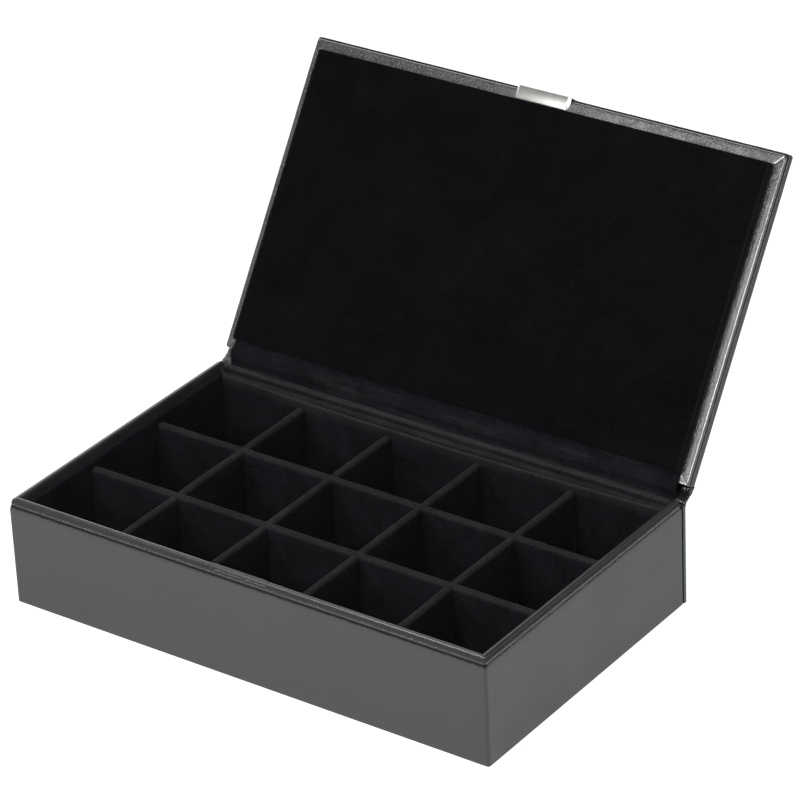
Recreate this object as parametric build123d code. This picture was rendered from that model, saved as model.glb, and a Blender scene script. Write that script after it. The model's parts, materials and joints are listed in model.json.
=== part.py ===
"""Leather jewellery box: a tray of fifteen velvet cells under a padded, leather-hinged lid.

Millimetres, +Z up. Everything is drawn with the front face at y = 0 and moved back by half
the depth when it is written, so the origin lies under the middle of the footprint. The lid is
drawn closed, with its inner face down, and then turned open about the hinge line.
"""
import os
from math import cos, radians, sin

from build123d import *

# Outside sizes of the box
WIDTH = 241.0
DEPTH = 147.0            # front face to the back of the spine
RIM_HEIGHT = 50.0
CORNER_R = 1.2           # upright corners of the tray and of the lid
FOOT_R = 0.3             # bottom edges of the tray
SPINE_R = 0.8
LEATHER = 0.8

# Tray shell
WALL_BOARD = 2.6
BASE_BOARD = 2.4
TURN_IN = 12.0           # leather folded under the base
SPINE_BOARD = 1.6
SPINE_GAP = 0.1          # dark line between the tray's own leather and the spine
SPINE_DROP = 3.4         # spine top below the rim
BACK_DROP = 2.0          # back wall top below the rim

# Rim: rounded bead of the side leather, pressed groove below it, lining strip inside it
BEAD_WIDTH = 1.1
BEAD_DROP = 0.6          # bead crown below the lining strip
BEAD_R = 0.9
GROOVE_WIDTH = 0.7
GROOVE_DEPTH = 0.25
GROOVE_DROP = 2.6        # middle of the groove below the rim, and below the lid's inner face
CREASE = 0.05            # gap between bead and lining strip

# Closure: magnet under the front rim and a steel clip on the lid's free edge
MAGNET_LENGTH = 26.0
MAGNET_WIDTH = 2.0
MAGNET_HEIGHT = 3.0
MAGNET_LIFT = 0.3        # how far it pushes the lining up
CLIP_WIDTH = 27.6
CLIP_SLOPE = 1.4         # sloped end of the clip's face
CLIP_REACH = 5.4         # from the free edge onto the lid's border
CLIP_PROUD = 1.0
CLIP_SHEET = 0.5

# Velvet insert
FLOOR_PAD = 2.0
LINER = 1.65
LINER_DROP = 4.2         # liner tops below the rim
LINER_BOW = 2.9          # the rear liner bows forward by this at mid-length
DIVIDER = 4.0
DIVIDER_DROP = 7.0       # divider tops below the rim
COLUMNS = 5
ROWS = 3
LAP_PLAY = 0.1           # each side of a half-lap slot

# Lid
LID_SHORT = 3.6          # the flat lid ends this far in front of the spine's back
LID_BOARD = 2.2
BORDER_CARD = 0.7
BORDER_INSET = 0.6       # border panel inside the lid's outline, at the sides
BORDER_INSET_REAR = 0.1  # the same at the hinge
BORDER_INSET_FREE = 1.0  # the same at the free edge
BORDER_R = 1.0
COVER_R = 0.9
LID_TURN_IN = 15.0
LID_GAP = 0.15           # over the rim when the lid is flat
PAD_SIDE = 5.0           # leather border left free beside the pad
PAD_REAR = 4.4
PAD_FREE = 5.7
PAD_HEIGHT = 3.85
PAD_CARD = 1.0
VELVET = 0.6
PAD_R = 1.0
PAD_CORNER_R = 1.5

# Hinge line, from the lid's rear inner edge when it is flat
AXIS_BEHIND = 3.86
AXIS_ABOVE = 0.19
OPEN_ANGLE = 123.84
STRIP_SIDE = 6.5         # leather left free beside the velvet hinge strip
STRIP = 0.7

# Derived levels and planes
HALF = WIDTH / 2
LID_LENGTH = DEPTH - LID_SHORT
FLOOR = LEATHER + BASE_BOARD
BOARD_TOP = RIM_HEIGHT - LEATHER
BEAD_TOP = RIM_HEIGHT - BEAD_DROP
SHOULDER = BOARD_TOP - 0.7
SKIN = LEATHER + WALL_BOARD
RIM = SKIN + LEATHER
RING_DEPTH = DEPTH - SPINE_GAP - SPINE_BOARD - LEATHER
BACK_OUT = RING_DEPTH - LEATHER
BACK_IN = BACK_OUT - WALL_BOARD
BACK_TOP = RIM_HEIGHT - BACK_DROP
SPINE_TOP = RIM_HEIGHT - SPINE_DROP
CELL_FLOOR = FLOOR + FLOOR_PAD
LINER_TOP = RIM_HEIGHT - LINER_DROP
DIVIDER_TOP = RIM_HEIGHT - DIVIDER_DROP
WELL_X = HALF - RIM - LINER
WELL_FRONT = RIM + LINER
WELL_BACK = BACK_IN - LINER - 0.15
PLANE = RIM_HEIGHT + LID_GAP
BORDER = LEATHER + BORDER_CARD
LID_THICK = BORDER + LEATHER + LID_BOARD + LEATHER
AXIS_Y = LID_LENGTH + AXIS_BEHIND
AXIS_Z = PLANE + AXIS_ABOVE
FAR = 2 * DEPTH


def slab(x0, x1, y0, y1, z0, z1, radius=0.0):
    """A block between two corners, with its upright edges rounded."""
    block = Pos((x0 + x1) / 2, (y0 + y1) / 2, (z0 + z1) / 2) * Box(x1 - x0, y1 - y0, z1 - z0)
    return fillet(block.edges().filter_by(Axis.Z), radius) if radius else block


def across(half, y0, y1, z0, z1, radius=0.0):
    """A slab centred on x = 0."""
    return slab(-half, half, y0, y1, z0, z1, radius)


def inner_radius(inset):
    return max(CORNER_R - inset, 0.7)


def tray_plate(inset, z0, z1):
    """The tray's plan, drawn in by inset, between two levels."""
    return across(HALF - inset, inset, RING_DEPTH - inset, z0, z1, inner_radius(inset))


def lid_plate(inset, z0, z1):
    """The lid's plan, drawn in by inset; levels count outwards from the inner face."""
    return across(HALF - inset, inset, LID_LENGTH - inset, PLANE + z0, PLANE + z1,
                  inner_radius(inset))


def edges_at(shape, level):
    """The edges that lie flat at one level."""
    return [e for e in shape.edges()
            if abs(e.bounding_box().min.Z - level) < 1e-4 and abs(e.bounding_box().max.Z - level) < 1e-4]


def turned(y, z, angle=-OPEN_ANGLE):
    """A closed lid's point (y, z) after the lid has turned about the hinge line."""
    a = radians(angle)
    dy, dz = y - AXIS_Y, z - AXIS_Z
    return AXIS_Y + dy * cos(a) - dz * sin(a), AXIS_Z + dy * sin(a) + dz * cos(a)


def on_lid(along, lift):
    """The open lid's point at a distance from its rear edge, lifted off the inner face."""
    return turned(LID_LENGTH - along, PLANE - lift)


def opened(shape):
    return shape.rotate(Axis((0, AXIS_Y, AXIS_Z), (1, 0, 0)), -OPEN_ANGLE)


def prism_x(half, edges):
    """A closed (y, z) outline, run from -half to half along X."""
    face = Face(Wire(edges))
    return extrude(Pos(-half, 0, 0) * face, amount=2 * half, dir=(1, 0, 0))


def yz(*points):
    return [(0, y, z) for y, z in points]


# ---- Tray shell ------------------------------------------------------------------------------

def base_board():
    return across(HALF - LEATHER, LEATHER, BACK_OUT, LEATHER, FLOOR, inner_radius(LEATHER))


def base_cover():
    edge = TURN_IN + 0.3
    return across(HALF - edge, edge, RING_DEPTH - edge, 0, LEATHER, 1.0)


def wall_stock():
    """What the four wall boards are cut from: stepped at the top to take the leather's bead."""
    return tray_plate(LEATHER, FLOOR, SHOULDER) + tray_plate(BEAD_WIDTH, SHOULDER, BOARD_TOP)


def side_wall(side):
    inner, outer = sorted((side * (HALF - SKIN), side * HALF))
    return wall_stock() & slab(inner, outer, 0, BACK_OUT, FLOOR, BOARD_TOP)


def front_wall():
    board = wall_stock() & across(HALF - SKIN, 0, SKIN, FLOOR, BOARD_TOP)
    pocket = MAGNET_HEIGHT - MAGNET_LIFT
    return board - magnet_space(BOARD_TOP - pocket, RIM_HEIGHT)


def back_wall():
    return across(HALF - RIM, BACK_IN, BACK_OUT, FLOOR, BACK_TOP)


def magnet_space(z0, z1, play=0.0):
    middle = LEATHER + WALL_BOARD / 2
    reach = MAGNET_WIDTH / 2 + play
    return across(MAGNET_LENGTH / 2 + play, middle - reach, middle + reach, z0, z1)


def closure_magnet():
    top = BOARD_TOP + MAGNET_LIFT
    return magnet_space(top - MAGNET_HEIGHT, top)


def side_cover():
    """Leather round the four walls: bead and groove at the top, folded under the base."""
    skin = tray_plate(0, 0, BEAD_TOP)
    skin = fillet(edges_at(skin, BEAD_TOP), BEAD_R)
    skin = fillet(edges_at(skin, 0), FOOT_R)
    low = RIM_HEIGHT - GROOVE_DROP - GROOVE_WIDTH / 2
    high = low + GROOVE_WIDTH
    skin -= tray_plate(-1, low, high) - tray_plate(GROOVE_DEPTH, low, high)
    skin -= tray_plate(LEATHER, LEATHER, SHOULDER)
    skin -= tray_plate(BEAD_WIDTH, SHOULDER - 0.01, RIM_HEIGHT)
    skin -= across(HALF - TURN_IN, TURN_IN, RING_DEPTH - TURN_IN, -1, LEATHER + 0.01, 1.3)
    return skin - across(HALF - RIM, RING_DEPTH - 2, FAR, BACK_TOP - 0.4, RIM_HEIGHT)


def rim_lining():
    """Leather down the inside of the walls, with a rounded strip over the rim."""
    well = across(HALF - RIM, RIM, FAR, 0, FAR)
    out = BEAD_WIDTH + CREASE
    strip = tray_plate(out, BOARD_TOP, RIM_HEIGHT) - well
    strip = fillet(edges_at(strip, RIM_HEIGHT), 0.6)
    leg = across(HALF - SKIN, SKIN, RING_DEPTH - out, FLOOR, BOARD_TOP) - well
    bump = across(MAGNET_LENGTH / 2 + 0.5, out + 0.4, RIM - 0.6, BOARD_TOP, RIM_HEIGHT + MAGNET_LIFT)
    bump = fillet(edges_at(bump, RIM_HEIGHT + MAGNET_LIFT), 0.25)
    return strip + leg + bump - magnet_space(BOARD_TOP - 1, BOARD_TOP + MAGNET_LIFT)


def spine_board():
    front = RING_DEPTH + SPINE_GAP
    return across(HALF - LEATHER, front, DEPTH - LEATHER, LEATHER, SPINE_TOP)


def spine_cover():
    front = RING_DEPTH + SPINE_GAP
    skin = across(HALF, front, DEPTH, 0, SPINE_TOP)
    corners = [e for e in skin.edges().filter_by(Axis.Z) if e.center().Y > DEPTH - 0.1]
    skin = fillet(corners, SPINE_R)
    return skin - across(HALF - LEATHER, front - 1, DEPTH - LEATHER, LEATHER, FAR)


# ---- Velvet insert ---------------------------------------------------------------------------

def bow(offset, behind):
    """The space behind the rear liner's bowed face, moved back by offset."""
    y_end, y_mid = WELL_BACK + offset, WELL_BACK + offset - LINER_BOW
    front = ThreePointArc((-WELL_X, y_end), (0, y_mid), (WELL_X, y_end))
    rest = Polyline((WELL_X, y_end), (WELL_X, behind), (-WELL_X, behind), (-WELL_X, y_end))
    return extrude(Pos(0, 0, CELL_FLOOR) * Face(Wire([front, *rest.edges()])),
                   amount=LINER_TOP - CELL_FLOOR)


def soft_top(shape, level, radius):
    """Round the long top edges of an upright, velvet-covered board."""
    long_edges = [e for e in edges_at(shape, level) if e.length > 50]
    return fillet(long_edges, radius)


def liner_back():
    strip = bow(0, FAR) - bow(LINER, FAR + 1)
    return soft_top(strip, LINER_TOP, LINER / 2 - 0.1)


def liner_front():
    return soft_top(across(WELL_X, RIM, WELL_FRONT, CELL_FLOOR, LINER_TOP), LINER_TOP,
                    LINER / 2 - 0.1)


def liner_side(side):
    inner, outer = sorted((side * WELL_X, side * (HALF - RIM)))
    return soft_top(slab(inner, outer, RIM, BACK_IN, CELL_FLOOR, LINER_TOP), LINER_TOP,
                    LINER / 2 - 0.1)


def floor_pad():
    return across(HALF - RIM, RIM, BACK_IN, FLOOR, CELL_FLOOR)


def column_lines():
    """x of the short dividers, which part the well into equal columns."""
    pitch = (2 * WELL_X + DIVIDER) / COLUMNS
    return [-WELL_X - DIVIDER / 2 + pitch * k for k in range(1, COLUMNS)]


def row_lines():
    """y of the long dividers, measured on the cells beside the side walls."""
    pitch = (WELL_BACK - LINER_BOW / 2 - WELL_FRONT + DIVIDER) / ROWS
    return [WELL_FRONT - DIVIDER / 2 + pitch * k + 0.4 for k in range(1, ROWS)]


def long_divider(y):
    """Full-width divider, slotted from below where the short ones cross it."""
    half = DIVIDER / 2
    board = across(WELL_X, y - half, y + half, CELL_FLOOR, DIVIDER_TOP)
    board = soft_top(board, DIVIDER_TOP, half - 0.1)
    lap = (CELL_FLOOR + DIVIDER_TOP) / 2
    for x in column_lines():
        board -= slab(x - half - LAP_PLAY, x + half + LAP_PLAY, 0, FAR, 0, lap)
    return board


def short_divider(x):
    """Front-to-back divider, slotted from above for the long ones, fitted to the bowed liner."""
    half = DIVIDER / 2
    board = slab(x - half, x + half, WELL_FRONT, WELL_BACK, CELL_FLOOR, DIVIDER_TOP)
    board = soft_top(board, DIVIDER_TOP, half - 0.1) - bow(-0.02, FAR)
    lap = (CELL_FLOOR + DIVIDER_TOP) / 2
    for y in row_lines():
        board -= across(WIDTH, y - half - LAP_PLAY, y + half + LAP_PLAY, lap, FAR)
    return board


# ---- Leather and velvet joint ----------------------------------------------------------------

def hinge_leather():
    """Outer joint: from the spine's top in under the open lid's rear edge."""
    skin = LEATHER
    lid_low = on_lid(-0.05, -(LID_THICK - 0.95))
    lid_high = on_lid(-0.05, -(LID_THICK - 0.95 - skin))
    dip_y, dip_z = DEPTH + 2.9, SPINE_TOP + 1.7
    outer = Spline(*yz((DEPTH, SPINE_TOP), (DEPTH + 0.8, SPINE_TOP + 0.7), (dip_y, dip_z), lid_low))
    inner = Spline(*yz(lid_high, (dip_y - 0.35, dip_z + skin), (DEPTH + 0.2, SPINE_TOP + 1.1),
                       (DEPTH - skin, SPINE_TOP)))
    ends = [Line(*yz(lid_low, lid_high)), Line(*yz((DEPTH - skin, SPINE_TOP), (DEPTH, SPINE_TOP)))]
    return prism_x(HALF, [outer, ends[0], inner, ends[1]])


def hinge_velvet():
    """Inner joint: over the back wall, down into a valley, up over the lid's rear edge."""
    hem = BACK_TOP - 1.8
    front = BACK_IN - STRIP
    valley = (DEPTH - 0.95, SPINE_TOP + 1.15)
    top = Spline(*yz((front, hem), (front + 0.1, BACK_TOP - 0.2), (BACK_IN + 1.3, BACK_TOP + 0.8),
                     (BACK_OUT + 0.7, BACK_TOP + 0.35), valley, on_lid(-3.1, 0.75), on_lid(0.2, 0.95),
                     on_lid(2.0, STRIP), on_lid(PAD_REAR - 0.1, STRIP)))
    end = on_lid(PAD_REAR - 0.1, STRIP)
    under = Polyline(*yz(end, on_lid(PAD_REAR - 0.1, 0), on_lid(0.2, 0), on_lid(-0.6, 0.02),
                         on_lid(-3.1, 0), (valley[0] + 0.1, valley[1] - STRIP),
                         (BACK_OUT + 0.6, BACK_TOP - 0.4), (BACK_OUT, BACK_TOP), (BACK_IN, BACK_TOP),
                         (BACK_IN, hem), (front, hem)))
    return prism_x(HALF - STRIP_SIDE, [top, *under.edges()])


# ---- Lid -------------------------------------------------------------------------------------

def lid_board():
    low = BORDER + LEATHER
    return lid_plate(LEATHER, low, low + LID_BOARD)


def lid_infill():
    """Card that levels the board inside the turned-in leather."""
    return lid_plate(LID_TURN_IN + 0.2, BORDER, BORDER + LEATHER)


def lid_cover():
    """Leather wrapped round the board and turned in under the border panel."""
    skin = lid_plate(0, BORDER, LID_THICK)
    skin = fillet(edges_at(skin, PLANE + LID_THICK), COVER_R)
    skin = fillet(edges_at(skin, PLANE + BORDER), 0.5)
    low = GROOVE_DROP - GROOVE_WIDTH / 2
    high = low + GROOVE_WIDTH
    skin -= lid_plate(-1, low, high) - lid_plate(GROOVE_DEPTH, low, high)
    skin -= lid_plate(LEATHER, BORDER + LEATHER, LID_THICK - LEATHER)
    return skin - lid_plate(LID_TURN_IN, BORDER - 1, BORDER + LEATHER + 0.01)


def border_plate(inset, z0, z1, radius):
    return across(HALF - BORDER_INSET - inset, BORDER_INSET_FREE + inset,
                  LID_LENGTH - BORDER_INSET_REAR - inset, PLANE + z0, PLANE + z1, radius)


def border_card():
    return border_plate(LEATHER, LEATHER, BORDER, 0.6)


def border_leather():
    panel = border_plate(0, 0, BORDER, CORNER_R)
    panel = fillet(edges_at(panel, PLANE), BORDER_R)
    return panel - border_plate(LEATHER, LEATHER, BORDER + 1, 0.6)


def pad_plate(inset, z0, z1, radius):
    return across(HALF - PAD_SIDE - inset, PAD_FREE + inset, LID_LENGTH - PAD_REAR - inset,
                  PLANE - z1, PLANE - z0, radius)


def pad_board():
    return pad_plate(VELVET, 0, PAD_CARD, PAD_CORNER_R - VELVET)


def pad_foam():
    return pad_plate(VELVET, PAD_CARD, PAD_HEIGHT - VELVET, PAD_CORNER_R - VELVET)


def pad_velvet():
    cushion = pad_plate(0, 0, PAD_HEIGHT, PAD_CORNER_R)
    cushion = fillet(edges_at(cushion, PLANE - PAD_HEIGHT), PAD_R)
    return cushion - pad_plate(VELVET, -1, PAD_HEIGHT - VELVET, PAD_CORNER_R - VELVET)


def closure_clip():
    """Steel clip folded over the free edge; its face on the border has sloped ends."""
    low, high = PLANE - CLIP_PROUD, PLANE + LID_THICK
    half, face_half = CLIP_WIDTH / 2, CLIP_WIDTH / 2 - CLIP_SLOPE
    outline = [(-half, PLANE), (half, PLANE), (face_half, low), (-face_half, low)]
    section = Polyline(*[(x, -CLIP_SHEET, z) for x, z in outline], close=True)
    face = extrude(Face(Wire(section.edges())), amount=CLIP_REACH + CLIP_SHEET, dir=(0, 1, 0))
    edge = across(half, -CLIP_SHEET, 0, PLANE, high + CLIP_SHEET)
    back = across(half, -CLIP_SHEET, CLIP_REACH, high, high + CLIP_SHEET)
    clip = face + edge + back
    bends = [e for e in clip.edges().filter_by(Axis.X) if abs(e.center().Y + CLIP_SHEET) < 1e-4]
    bends = [e for e in bends if e.center().Z < PLANE - 0.1 or e.center().Z > high + 0.1]
    return fillet(bends, 0.4)


def tray_pieces():
    pieces = {
        "base_board": base_board(), "base_cover": base_cover(),
        "front_wall": front_wall(), "back_wall": back_wall(),
        "left_wall": side_wall(-1), "right_wall": side_wall(1),
        "closure_magnet": closure_magnet(),
        "side_cover": side_cover(), "rim_lining": rim_lining(),
        "spine_board": spine_board(), "spine_cover": spine_cover(),
        "liner_front": liner_front(), "liner_back": liner_back(),
        "liner_left": liner_side(-1), "liner_right": liner_side(1),
        "floor_pad": floor_pad(),
        "hinge_leather": hinge_leather(), "hinge_velvet": hinge_velvet(),
    }
    front, rear = row_lines()
    pieces["long_divider_front"] = long_divider(front)
    pieces["long_divider_rear"] = long_divider(rear)
    for k, x in enumerate(column_lines(), 1):
        pieces[f"short_divider_{k}"] = short_divider(x)
    return pieces


def lid_pieces():
    closed = {
        "lid_board": lid_board(), "lid_infill": lid_infill(), "lid_cover": lid_cover(),
        "border_card": border_card(), "border_leather": border_leather(),
        "pad_board": pad_board(), "pad_foam": pad_foam(), "pad_velvet": pad_velvet(),
        "closure_clip": closure_clip(),
    }
    return {name: opened(shape) for name, shape in closed.items()}


def main():
    os.makedirs("parts", exist_ok=True)
    for name, shape in {**tray_pieces(), **lid_pieces()}.items():
        export_step(Pos(0, -DEPTH / 2, 0) * shape, f"parts/{name}.step")


if __name__ == "__main__":
    main()
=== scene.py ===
"""Dresses the leather jewellery box: skins, velvet insert, padded lid, joint, clip and studio."""

import json
from math import cos, hypot, log, pi, radians, sin, sqrt

import bmesh
import bpy
from bpy.props import FloatProperty, FloatVectorProperty, IntProperty, PointerProperty
from mathutils import Matrix, Vector, noise


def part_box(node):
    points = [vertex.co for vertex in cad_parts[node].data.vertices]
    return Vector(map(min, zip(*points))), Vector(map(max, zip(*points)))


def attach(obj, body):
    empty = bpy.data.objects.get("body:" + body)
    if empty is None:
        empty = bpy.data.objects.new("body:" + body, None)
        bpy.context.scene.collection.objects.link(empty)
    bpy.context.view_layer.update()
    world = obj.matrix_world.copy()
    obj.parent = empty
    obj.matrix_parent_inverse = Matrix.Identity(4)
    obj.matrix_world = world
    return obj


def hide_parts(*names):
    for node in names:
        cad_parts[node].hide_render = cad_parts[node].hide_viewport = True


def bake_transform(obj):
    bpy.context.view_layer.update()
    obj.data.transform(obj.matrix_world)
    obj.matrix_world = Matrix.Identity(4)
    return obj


bl_info = {
    "name": "Jewellery box dressing",
    "version": (1, 0, 0),
    "blender": (4, 5, 0),
    "location": "View3D > Sidebar > Jewellery box",
    "description": "Models the leather, velvet and clip of a compartment jewellery box",
    "category": "Object",
}

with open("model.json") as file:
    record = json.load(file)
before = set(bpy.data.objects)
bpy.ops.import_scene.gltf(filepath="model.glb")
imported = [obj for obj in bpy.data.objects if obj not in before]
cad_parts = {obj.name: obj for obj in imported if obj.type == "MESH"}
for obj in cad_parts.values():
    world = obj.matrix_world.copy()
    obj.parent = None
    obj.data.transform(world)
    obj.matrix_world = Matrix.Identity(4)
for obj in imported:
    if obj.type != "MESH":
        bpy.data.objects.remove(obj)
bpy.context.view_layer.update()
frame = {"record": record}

MM = 0.001
SWEEP = 2.5 * MM         # radius that the rings' corners are swept with before they are drawn out
CORNER_STEPS = 12        # faces round each of those corners
WELD = 1e-6              # vertices closer than this are one
LEATHER_STEP = 1.0 * MM  # mesh step along the leather's long edges
FOLD = 2.4 * MM          # inset at which the side leather's profile starts, under the base
TURN_IN = 12 * MM        # inset at which that leather ends
MITRE_WITHIN = 8 * MM    # the mitres are looked for this near to the sides
HINGE = frame["record"]["behaviour"]["joints"][0]["pos_m"]
OPEN_ANGLE = radians(123.84)

SIDE_LO, SIDE_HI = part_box("side_cover")
RIM_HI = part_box("rim_lining")[1]
FLOOR_LO, FLOOR_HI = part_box("floor_pad")
LINER_LO, LINER_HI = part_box("liner_left")
CELL_LO, CELL_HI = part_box("long_divider_front")
CLIP_LO, CLIP_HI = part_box("closure_clip")


# ---- Sizes and colours ----

def length(name, description, default):
    return FloatProperty(name=name, description=description, default=default, min=0.0,
                         unit="LENGTH", precision=5)


def colour(name, description, default):
    return FloatVectorProperty(name=name, description=description, default=default, size=3,
                               min=0.0, max=1.0, subtype="COLOR")


class JewelleryBoxSizes(bpy.types.PropertyGroup):
    """Sizes of the visible skins and of the insert, in metres."""
    half_width: length("Half width", "Middle to the outer side of the box", SIDE_HI[0])
    front: FloatProperty(name="Front", description="Front face of the tray along Y",
                         default=SIDE_LO[1], unit="LENGTH", precision=5)
    ring_back: FloatProperty(name="Ring back", description="Back of the leather round the tray",
                             default=SIDE_HI[1], unit="LENGTH", precision=5)
    corner: length("Corner radius", "Upright corners of tray and lid", 1.2 * MM)
    rim: length("Rim height", "Top of the lining strip on the rim", 50 * MM)
    rim_width: length("Rim width", "Outer face to the inside of the rim", 4.2 * MM)
    lid_plane: length("Lid plane", "Inner face of the closed lid above the table", 50.15 * MM)
    lid_length: length("Lid length", "Hinge edge to free edge", 143.4 * MM)
    lid_thickness: length("Lid thickness", "Inner face to outer face", 5.3 * MM)
    pad_lift: length("Pad height", "Pad above the lid's inner face", 3.85 * MM)
    divider: length("Divider thickness", "Velvet divider from side to side", 4 * MM)


class JewelleryBoxColours(bpy.types.PropertyGroup):
    """Base colours of the finishes."""
    leather: colour("Leather", "Black leather", (0.0150, 0.0166, 0.0168))
    velvet: colour("Velvet", "Short-pile black velvet", (0.0052, 0.0056, 0.0068))
    pad: colour("Pad velvet", "Velvet on the lid's pad", (0.0020, 0.0021, 0.0026))
    clip: colour("Clip", "Nickel-plated steel", (0.66, 0.66, 0.63))
    board: colour("Board", "Hidden black box board", (0.022, 0.021, 0.020))


# ---- Shader groups ----

def new_group(name, inputs, outputs):
    group = bpy.data.node_groups.new(name, "ShaderNodeTree")
    for label, kind, value in inputs:
        socket = group.interface.new_socket(label, in_out="INPUT", socket_type=kind)
        if value is not None:
            socket.default_value = value
    for label, kind in outputs:
        group.interface.new_socket(label, in_out="OUTPUT", socket_type=kind)
    return group, group.nodes.new("NodeGroupInput"), group.nodes.new("NodeGroupOutput")


def add(tree, kind, **settings):
    node = tree.nodes.new(kind)
    for key, value in settings.items():
        setattr(node, key, value)
    return node


def fill(socket, value):
    """Set an input, or link it where the value is another node's output."""
    if isinstance(value, bpy.types.NodeSocket):
        socket.id_data.links.new(value, socket)
    else:
        socket.default_value = value


def feed(node, **inputs):
    """Fill a node's inputs by name, with an underscore for each space."""
    for label, value in inputs.items():
        fill(node.inputs[label.replace("_", " ")], value)
    return node


def math(tree, operation, a, b, clamp=False):
    node = add(tree, "ShaderNodeMath", operation=operation, use_clamp=clamp)
    fill(node.inputs[0], a)
    fill(node.inputs[1], b)
    return node.outputs[0]


def weighted(tree, *terms):
    """Add up (value, weight) pairs."""
    total, *others = [math(tree, "MULTIPLY", value, weight) for value, weight in terms]
    for product in others:
        total = math(tree, "ADD", total, product)
    return total


def mask(tree, name):
    """A vertex attribute as a factor."""
    return add(tree, "ShaderNodeAttribute", attribute_name=name).outputs["Fac"]


def mix(tree, factor, a, b):
    node = add(tree, "ShaderNodeMix", data_type="RGBA")
    return feed(node, Factor=factor, A=a, B=b).outputs["Result"]


def noise_of(tree, vector, scale, detail=2.0, roughness=0.5, distortion=0.0):
    node = add(tree, "ShaderNodeTexNoise")
    feed(node, Vector=vector, Scale=scale, Detail=detail, Roughness=roughness,
         Distortion=distortion)
    return node.outputs["Fac"]


def leather_group():
    """Pebbled grain, soft creases and slow mottling of leather; heights are about 0 to 1."""
    group, given, out = new_group(
        "leather_grain",
        [("Vector", "NodeSocketVector", None), ("Grain", "NodeSocketFloat", 900.0),
         ("Crease", "NodeSocketFloat", 0.3), ("Wrinkle", "NodeSocketFloat", 0.0)],
        [("Height", "NodeSocketFloat"), ("Mottle", "NodeSocketFloat")])
    vector, grain = given.outputs["Vector"], given.outputs["Grain"]
    cells = add(group, "ShaderNodeTexVoronoi", feature="SMOOTH_F1")
    feed(cells, Vector=vector, Scale=grain, Smoothness=0.6)
    pebble = math(group, "SUBTRACT", 1.0, cells.outputs["Distance"])
    fine, crease, wrinkle = [
        noise_of(group, vector, math(group, "MULTIPLY", grain, share), *look)
        for share, *look in ((2.3, 3.0, 0.6), (0.28, 4.0, 0.65, 0.8), (0.7, 2.0, 0.55, 1.5))]
    height = weighted(group, (pebble, 0.5), (fine, 0.35), (crease, given.outputs["Crease"]),
                      (wrinkle, given.outputs["Wrinkle"]))
    feed(out, Height=height, Mottle=noise_of(group, vector, 42.0, 4.0, 0.6))


def velvet_group():
    """Standing pile: fine fibre height and broad strokes where the pile leans."""
    group, given, out = new_group(
        "velvet_nap",
        [("Vector", "NodeSocketVector", None), ("Fibre", "NodeSocketFloat", 2200.0),
         ("Strokes", "NodeSocketFloat", 45.0)],
        [("Height", "NodeSocketFloat"), ("Shade", "NodeSocketFloat")])
    vector, scale = given.outputs["Vector"], given.outputs["Fibre"]
    fibre = noise_of(group, vector, scale, 3.0, 0.7)
    tuft = noise_of(group, vector, math(group, "MULTIPLY", scale, 0.35), 2.0, 0.6)
    stroke = noise_of(group, vector, given.outputs["Strokes"], 4.0, 0.65, 0.6)
    feed(out, Height=weighted(group, (fibre, 0.6), (tuft, 0.4)),
         Shade=weighted(group, (fibre, 0.75), (stroke, 0.25)))


def grouped(tree, name, **inputs):
    return feed(add(tree, "ShaderNodeGroup", node_tree=bpy.data.node_groups[name]), **inputs)


def ramp(tree, factor, low, high, stops=(0.0, 1.0)):
    """A colour ramp between two greys or colours."""
    node = add(tree, "ShaderNodeValToRGB")
    for element, stop, value in zip(node.color_ramp.elements, stops, (low, high)):
        element.position = stop
        element.color = (*value, 1.0) if hasattr(value, "__len__") else (value, value, value, 1.0)
    return feed(node, Fac=factor).outputs["Color"]


def start_finish(name):
    finish = bpy.data.materials.new(name)
    finish.use_nodes = True
    return finish.node_tree, finish.node_tree.nodes["Principled BSDF"]


def bump(tree, shader, height, strength, distance):
    node = feed(add(tree, "ShaderNodeBump"), Height=height, Strength=strength, Distance=distance)
    feed(shader, Normal=node.outputs["Normal"])


def mapped(tree, rotation=(0.0, 0.0, 0.0), scale=(1.0, 1.0, 1.0)):
    place = add(tree, "ShaderNodeTexCoord").outputs["Object"]
    node = add(tree, "ShaderNodeMapping")
    return feed(node, Vector=place, Rotation=rotation, Scale=scale).outputs["Vector"]


def shade_of(base, factor):
    return tuple(min(1.0, c * factor) for c in base)


def leather_finish(name, base, grain, crease, depth, roughness, rotation=(0.0, 0.0, 0.0),
                   scale=(1.0, 1.0, 1.0), wrinkled=0.0, coat=0.0):
    """Satin leather with its grain's depth in mm.

    Where it is wrinkled, the attribute "wrinkle" marks the kinks, and a second attribute marks
    painted shade: a darker base colour where shade falls in grooves and folds.
    """
    tree, shader = start_finish(name)
    grained = grouped(tree, "leather_grain", Vector=mapped(tree, rotation, scale), Grain=grain,
                      Crease=crease)
    mottle = grained.outputs["Mottle"]
    tone = ramp(tree, mottle, shade_of(base, 0.8), shade_of(base, 1.25), (0.3, 0.7))
    rough = ramp(tree, mottle, roughness - 0.04, roughness + 0.05, (0.3, 0.7))
    feed(shader, Coat_Weight=coat, Coat_Roughness=0.22, Coat_IOR=1.9, IOR=1.6)
    if wrinkled:
        kinks, painted_shade = mask(tree, "wrinkle"), mask(tree, "painted_shade")
        feed(grained, Wrinkle=math(tree, "MULTIPLY", kinks, wrinkled))
        feed(shader, Coat_Weight=math(tree, "MULTIPLY", kinks, 0.5))
        # Painted shade: the base colour darkens to 0.45 of itself, and turns smoother, where the
        # painted-shade mask is set.
        tone = mix(tree, painted_shade, tone, (*shade_of(base, 0.45), 1.0))
        rough = math(tree, "SUBTRACT", rough, math(tree, "MULTIPLY", painted_shade, 0.27))
    feed(shader, Base_Color=tone, Roughness=rough)
    bump(tree, shader, grained.outputs["Height"], 1.0, depth * MM)


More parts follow.
